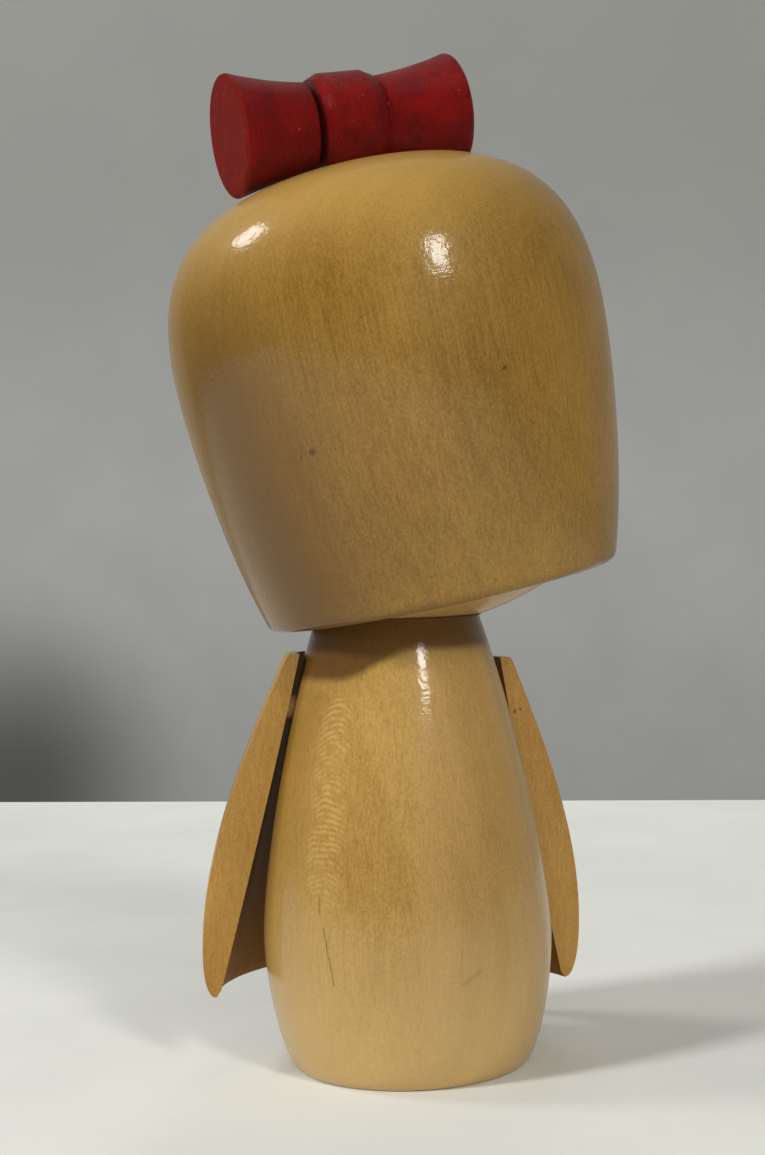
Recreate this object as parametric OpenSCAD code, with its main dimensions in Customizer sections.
// Wooden kokeshi doll with a tilted bob-haired head, bell sleeves and a bow.
// The doll stands on the centre of its flat base, +Z up, and faces -Y.
// The doll's own left side is at +X.

/* [Body] */
// Height from the base to the top of the neck
body_h = 88.5; // [80:0.5:110]
// Radius of the widest part of the body
belly_r = 28.7; // [24:0.1:36]
// Height of the widest part of the body
belly_z = 25.6; // [20:0.2:32]
// Radius of the flat face that the doll rests on
foot_r = 22.5; // [16:0.5:23.5]
// Radius of the neck's top edge
neck_r = 16.4; // [13:0.1:20]

/* [Head] */
// Sideways lean of the head, towards the doll's left
head_tilt = 10.7; // [0:0.1:14]
// Height of the hair from its lower edge to the crown
head_h = 86.7; // [72:0.1:104]
// Radius of the hair at its widest
hair_r = 43.3; // [36:0.1:52]
// Radius of the hair's lower edge
hair_rim_r = 35.3; // [33:0.1:38]
// Height of the hair's widest part above its lower edge
hair_wide_h = 51.7; // [44:0.1:62]
// Thickness of the hair's wall at its lower edge
hair_wall = 4.2; // [3:0.1:5]
// Thickness of the hair above the inner head at the crown
crown_wall = 14; // [12:0.5:18]
// Distance that the chin shows below the hair's lower edge
chin_drop = 5.7; // [4:0.1:7]
// Radius of the round corner between chin and cheek
jaw_round = 9; // [6:0.5:11]
// Clearance of the head inside the hair
glue_gap = 0.1; // [0.05:0.01:0.2]

/* [Face window] */
// Half of the width of the opening in the hair over the face
window_half_w = 25; // [18:0.5:27]
// Height of the fringe's edge above the hair's lower edge
fringe_h = 46; // [36:1:54]
// Radius of the window's two upper corners
window_corner = 8; // [2:1:14]

/* [Neck joint] */
// Radius of the dowel that the head turns on
neck_peg_r = 4.5; // [3:0.1:6]
// Depth of the dowel inside the body
neck_peg_down = 25; // [15:1:35]
// Depth of the dowel inside the head
neck_peg_up = 18; // [10:1:28]
// Gap between the round chin and the dished top of the neck
dish_gap = 0.2; // [0.1:0.05:0.4]
// Running clearance of a peg in the body
peg_fit = 0.08; // [0.03:0.01:0.1]
// Gap between the end of a peg and the bottom of its bore
end_gap = 0.6; // [0.3:0.1:1.5]

/* [Sleeves] */
// Length of a sleeve from its top face to its hem
sleeve_len = 68; // [58:0.5:72]
// Distance of the sleeves' top faces below the top of the neck
sleeve_drop = 7.8; // [5:0.1:10]
// Gap between the body and a sleeve at its top
sleeve_gap = 2.2; // [1.6:0.1:3]
// Wood thickness of a sleeve at its top face
sleeve_top_wall = 2.6; // [2.4:0.1:4]
// Distance of a sleeve's inside from the body's widest radius at the hem
hem_gap = 8.2; // [6:0.1:10]
// Wood thickness at the fullest part of a sleeve, above the hem
hem_wall = 5.9; // [4.5:0.1:7]
// Height of the fullest part of a sleeve above its hem
hem_full_h = 9.2; // [7:0.1:12]
// Slant of the straight cut along a sleeve's back edge
back_slant = 6.5; // [4:0.5:12]
// How far behind the shoulder line the back cut starts at the top
back_start = 0.3; // [0:0.1:4]
// How far in front of the shoulder line the front cut starts at the top
front_start = 13; // [11:0.5:16]
// Slant of the straight cut along a sleeve's front edge
front_slant = 16.5; // [12:0.5:20]
// Lean of both sleeves against the body, towards the doll's right
sleeve_lean = 1.1; // [0:0.1:1.5]
// How far the left sleeve hangs above, and the right one below, the even height
sleeve_uneven = 0.9; // [0:0.1:1.2]

/* [Shoulder joint] */
// Distance of the shoulder pegs below the sleeves' top faces
shoulder_drop = 10.6; // [8:0.1:14]
// Distance of the shoulder pegs in front of the middle
shoulder_y = 6; // [4:0.5:7]
// Radius of a shoulder peg
shoulder_peg_r = 2.5; // [1.8:0.1:3]
// Depth of a shoulder peg inside the body
shoulder_in_body = 8; // [5:0.5:9]
// Depth of a shoulder peg inside its sleeve
shoulder_in_sleeve = 2.8; // [2:0.1:3.2]

/* [Bow] */
// Length of one loop of the bow
loop_len = 16; // [12:0.2:20]
// Radius of a loop's flat outer end
loop_end_r = 11.9; // [9.8:0.1:14]
// Radius of a loop where it meets the groove
loop_in_r = 8.9; // [7.8:0.1:10]
// Radius of the knot
knot_r = 10.3; // [9.2:0.1:12.4]
// Length of the knot
knot_len = 12.6; // [9:0.1:15]
// Width of the groove on each side of the knot
groove_w = 1.4; // [1:0.1:2.5]
// Radius at the bottom of the grooves
groove_r = 7; // [5.5:0.1:7.5]
// Slope of the knot's edges and width of the loops' worn outer edge
bow_edge = 1; // [0.5:0.1:1.5]
// Height of the bow's axis above the crown
bow_lift = 8.6; // [7.2:0.1:10.4]
// Lean of the bow's axis against the head, away from the head's own lean
bow_skew = 2.3; // [0:0.1:4]
// Turn of the bow on the crown, its left end backwards
bow_turn = 3.3; // [0:0.1:6]
// Radius of the dowel that holds the bow
bow_peg_r = 2; // [1.2:0.1:2.6]
// Depth of that dowel in the crown and in the knot
bow_peg_depth = 8; // [6:0.5:9]

/* [Hidden] */

// Roundness of the turned surfaces and pieces in each curve of a profile
$fn = 96;
curve_steps = 14;
// Height of the part of the crown that the bow is cut to
crown_seat_h = 12;
// Added length that carries a cut clear of a face
over = 2;

wood = "BurlyWood";
pale_wood = "Wheat";
peg_wood = "Tan";
bow_red = "FireBrick";

// ---- Curves -------------------------------------------------------------

// Points of a smooth curve from a to d that leaves towards b and arrives from c
function curve(a, b, c, d) = [
    for (i = [0 : curve_steps])
        let (t = i / curve_steps, s = 1 - t)
            s * s * s * a + 3 * s * s * t * b + 3 * s * t * t * c + t * t * t * d
];

// The same points without the first, to follow another curve
function after_first(points) = [for (i = [1 : len(points) - 1]) points[i]];

// Radius of a profile, given as [radius, height] points, at one height
function radius_at(points, z) = lookup(z, [for (p = points) [p[1], p[0]]]);

// Distance along X of a round surface of radius r at depth y
function side_x(r, y) = sqrt(r * r - y * y);

// ---- Body ---------------------------------------------------------------

body_lower = curve([foot_r, 0], [foot_r + 2.8, 0.2], [belly_r, belly_z - 10.6],
                   [belly_r, belly_z]);
body_upper = curve([belly_r, belly_z], [belly_r, belly_z + 10.6],
                   [neck_r + 7.2, body_h - 22], [neck_r, body_h]);

// ---- Head, in its own frame: origin at the middle of the hair's lower edge

rim_to_centre = hair_wide_h + 1.1;
chin_r = rim_to_centre + chin_drop;
// Height at which the round chin rests on the neck's edge
chin_centre_z = body_h + sqrt(chin_r * chin_r - neck_r * neck_r);

hair_outer = concat(
    curve([hair_rim_r, 0], [hair_rim_r + 5.4, 16.5], [hair_r, hair_wide_h - 11],
          [hair_r, hair_wide_h]),
    after_first(curve([hair_r, hair_wide_h], [hair_r, head_h - 10.8],
                      [hair_r - 11.6, head_h], [0, head_h])));

hollow_rim_r = hair_rim_r - hair_wall;
hollow_r = hair_r - hair_wall - 0.6;
hollow_h = head_h - crown_wall;
hollow_wide_h = hair_wide_h - 6;

// Upper part of the hollow, drawn smaller by a gap for the head inside it
function hollow_top(gap) =
    curve([hollow_r - gap, hollow_wide_h], [hollow_r - gap, hollow_h - 9],
          [hollow_r - 13, hollow_h - gap], [0, hollow_h - gap]);
// Side of the hollow, from the hair's lower edge to its widest part
function hollow_side(gap) =
    curve([hollow_rim_r - gap, 0], [hollow_rim_r + 5 - gap, 16.5],
          [hollow_r - gap, hollow_wide_h - 10], [hollow_r - gap, hollow_wide_h]);

module to_head() {
    translate([0, 0, chin_centre_z])
        rotate([0, head_tilt, 0])
            translate([0, 0, -rim_to_centre])
                children();
}

// ---- Sleeves ------------------------------------------------------------

sleeve_top_z = body_h - sleeve_drop;
sleeve_hem_z = sleeve_top_z - sleeve_len;
sleeve_in_top = radius_at(body_upper, sleeve_top_z) + sleeve_gap;
sleeve_in_hem = belly_r + hem_gap;
sleeve_out_hem = sleeve_in_hem + 1;
sleeve_full_r = sleeve_in_hem - 2.3 + hem_wall;
sleeve_full_z = sleeve_hem_z + hem_full_h;

sleeve_inner = curve([sleeve_in_hem, sleeve_hem_z + 1.5],
                     [sleeve_in_hem - 5.4, sleeve_hem_z + 22],
                     [sleeve_in_top + 4.1, sleeve_top_z - 20.5],
                     [sleeve_in_top, sleeve_top_z]);
sleeve_outer = curve([sleeve_in_top + sleeve_top_wall, sleeve_top_z - 0.6],
                     [sleeve_in_top + sleeve_top_wall + 8, sleeve_top_z - 18.6],
                     [sleeve_full_r, sleeve_full_z + 20],
                     [sleeve_full_r, sleeve_full_z]);
sleeve_tip = curve([sleeve_full_r, sleeve_full_z], [sleeve_full_r, sleeve_full_z - 5],
                   [sleeve_out_hem + 1.8, sleeve_hem_z], [sleeve_out_hem, sleeve_hem_z]);

shoulder_z = sleeve_top_z - shoulder_drop;
shoulder_body_x = side_x(radius_at(body_upper, shoulder_z), shoulder_y);
shoulder_sleeve_x = side_x(radius_at(sleeve_inner, shoulder_z), shoulder_y);

// Hangs a left piece on its own side, 1 for the left and -1 for the right
module hang(side) {
    middle = sleeve_top_z - sleeve_len / 2;
    translate([0, 0, middle + side * sleeve_uneven])
        rotate([0, -sleeve_lean, 0])
            translate([0, 0, -middle])
                mirror([side < 0 ? 1 : 0, 0, 0])
                    children();
}

// Cylinder along +X from x0 to x1 on the shoulder axis
module shoulder_rod(r, x0, x1) {
    translate([x0, -shoulder_y, shoulder_z])
        rotate([0, 90, 0])
            cylinder(r = r, h = x1 - x0);
}

// ---- Pieces -------------------------------------------------------------

module body() {
    neck_bore_z = body_h - neck_peg_down - end_gap;
    color(wood)
        difference() {
            rotate_extrude()
                polygon(concat([[0, 0]], body_lower, after_first(body_upper),
                               [[0, body_h]]));
            translate([0, 0, chin_centre_z])
                sphere(r = chin_r + dish_gap);
            translate([0, 0, neck_bore_z])
                cylinder(r = neck_peg_r + peg_fit, h = neck_peg_down + over);
            for (side = [-1, 1])
                hang(side)
                    shoulder_rod(shoulder_peg_r + peg_fit,
                                 shoulder_body_x - shoulder_in_body - end_gap,
                                 shoulder_body_x + over);
        }
}

module neck_peg() {
    chin_z = chin_centre_z - chin_r;
    color(peg_wood)
        translate([0, 0, body_h - neck_peg_down])
            cylinder(r = neck_peg_r, h = chin_z + neck_peg_up - body_h + neck_peg_down);
}

module head_core() {
    jaw_r = hollow_rim_r - jaw_round;
    jaw_angle = asin(jaw_r / chin_r);
    chin = [for (i = [0 : curve_steps])
        let (a = jaw_angle * i / curve_steps)
            [chin_r * sin(a), rim_to_centre - chin_r * cos(a)]];
    jaw_low = chin[curve_steps];
    side = [for (p = hollow_side(glue_gap)) if (p[1] > jaw_round * 1.5) p];
    jaw = curve(jaw_low,
                jaw_low + jaw_round / 2 * [cos(jaw_angle), sin(jaw_angle)],
                side[0] - jaw_round / 2 * [sin(jaw_angle), cos(jaw_angle)],
                side[0]);
    color(pale_wood)
        difference() {
            to_head()
                rotate_extrude()
                    polygon(concat(chin, after_first(jaw), after_first(side),
                                   after_first(hollow_top(glue_gap))));
            translate([0, 0, body_h - neck_peg_down])
                cylinder(r = neck_peg_r,
                         h = chin_centre_z - chin_r + neck_peg_up + end_gap
                             - body_h + neck_peg_down);
        }
}

// Opening over the face, cut through the front of the hair only
module window() {
    half = window_half_w;
    depth = hair_r + over;
    rotate([90, 0, 0])
        linear_extrude(height = depth) {
            translate([-half, -over])
                square([2 * half, fringe_h - window_corner + over]);
            translate([-half + window_corner, 0])
                square([2 * (half - window_corner), fringe_h]);
            for (side = [-1, 1])
                translate([side * (half - window_corner), fringe_h - window_corner])
                    circle(r = window_corner);
        }
}

module hair() {
    color(wood)
        to_head()
            difference() {
                rotate_extrude()
                    polygon(concat([[0, 0]], hair_outer));
                rotate_extrude()
                    polygon(concat([[0, -over], [hollow_rim_r, -over]],
                                   hollow_side(0), after_first(hollow_top(0))));
                window();
                translate([0, 0, head_h - bow_peg_depth - end_gap])
                    cylinder(r = bow_peg_r, h = bow_peg_depth + end_gap + over);
            }
}

// The upper part of the hair as a solid, wide enough for the bow to sit on
module crown() {
    low = head_h - crown_seat_h;
    rotate_extrude()
        polygon(concat([[0, low], [radius_at(hair_outer, low), low]],
                       [for (p = hair_outer) if (p[1] > low) p]));
}

module bow() {
    half_knot = knot_len / 2;
    loop_x = half_knot + groove_w;
    end_x = loop_x + loop_len;
    side = [
        [knot_r, half_knot - 2 * bow_edge],
        [knot_r - bow_edge, half_knot],
        [groove_r, half_knot + groove_w / 2],
        [loop_in_r, loop_x],
        [loop_end_r - 0.3, end_x - bow_edge],
        [loop_end_r - bow_edge / 2, end_x],
        [0, end_x]
    ];
    other_side = [for (i = [len(side) - 1 : -1 : 0]) [side[i][0], -side[i][1]]];
    color(bow_red)
        to_head()
            difference() {
                translate([0, 0, head_h + bow_lift])
                    rotate([0, 90 - bow_skew, bow_turn])
                        rotate_extrude()
                            polygon(concat(other_side, side));
                crown();
                translate([0, 0, head_h - over])
                    cylinder(r = bow_peg_r, h = bow_peg_depth + over + end_gap);
            }
}

module bow_peg() {
    color(peg_wood)
        to_head()
            translate([0, 0, head_h - bow_peg_depth])
                cylinder(r = bow_peg_r, h = 2 * bow_peg_depth);
}

// A left sleeve before it is hung: a bell cut by two slanted planes
module sleeve() {
    top = sleeve_top_z + over;
    bottom = sleeve_hem_z - over;
    back_top = back_start + over * tan(back_slant);
    back_bottom = back_start - (top - over - bottom) * tan(back_slant);
    front_top = -front_start + over * tan(front_slant);
    front_bottom = -front_start - (top - over - bottom) * tan(front_slant);
    difference() {
        intersection() {
            rotate_extrude()
                polygon(concat(sleeve_inner,
                               [[sleeve_in_top + sleeve_top_wall - 0.6, sleeve_top_z]],
                               sleeve_outer, after_first(sleeve_tip)));
            rotate([90, 0, 90])
                linear_extrude(height = sleeve_full_r + over)
                    polygon([[back_top, top], [back_bottom, bottom],
                             [front_bottom, bottom], [front_top, top]]);
        }
        shoulder_rod(shoulder_peg_r, shoulder_sleeve_x - over,
                     shoulder_sleeve_x + shoulder_in_sleeve + end_gap);
    }
}

// A left shoulder peg before it is hung
module shoulder_peg() {
    shoulder_rod(shoulder_peg_r, shoulder_body_x - shoulder_in_body,
                 shoulder_sleeve_x + shoulder_in_sleeve);
}

module left_sleeve() {
    color(wood)
        hang(1)
            sleeve();
}

module right_sleeve() {
    color(wood)
        hang(-1)
            sleeve();
}

module left_shoulder_peg() {
    color(peg_wood)
        hang(1)
            shoulder_peg();
}

module right_shoulder_peg() {
    color(peg_wood)
        hang(-1)
            shoulder_peg();
}

body();
neck_peg();
head_core();
hair();
bow();
bow_peg();
left_sleeve();
right_sleeve();
left_shoulder_peg();
right_shoulder_peg();
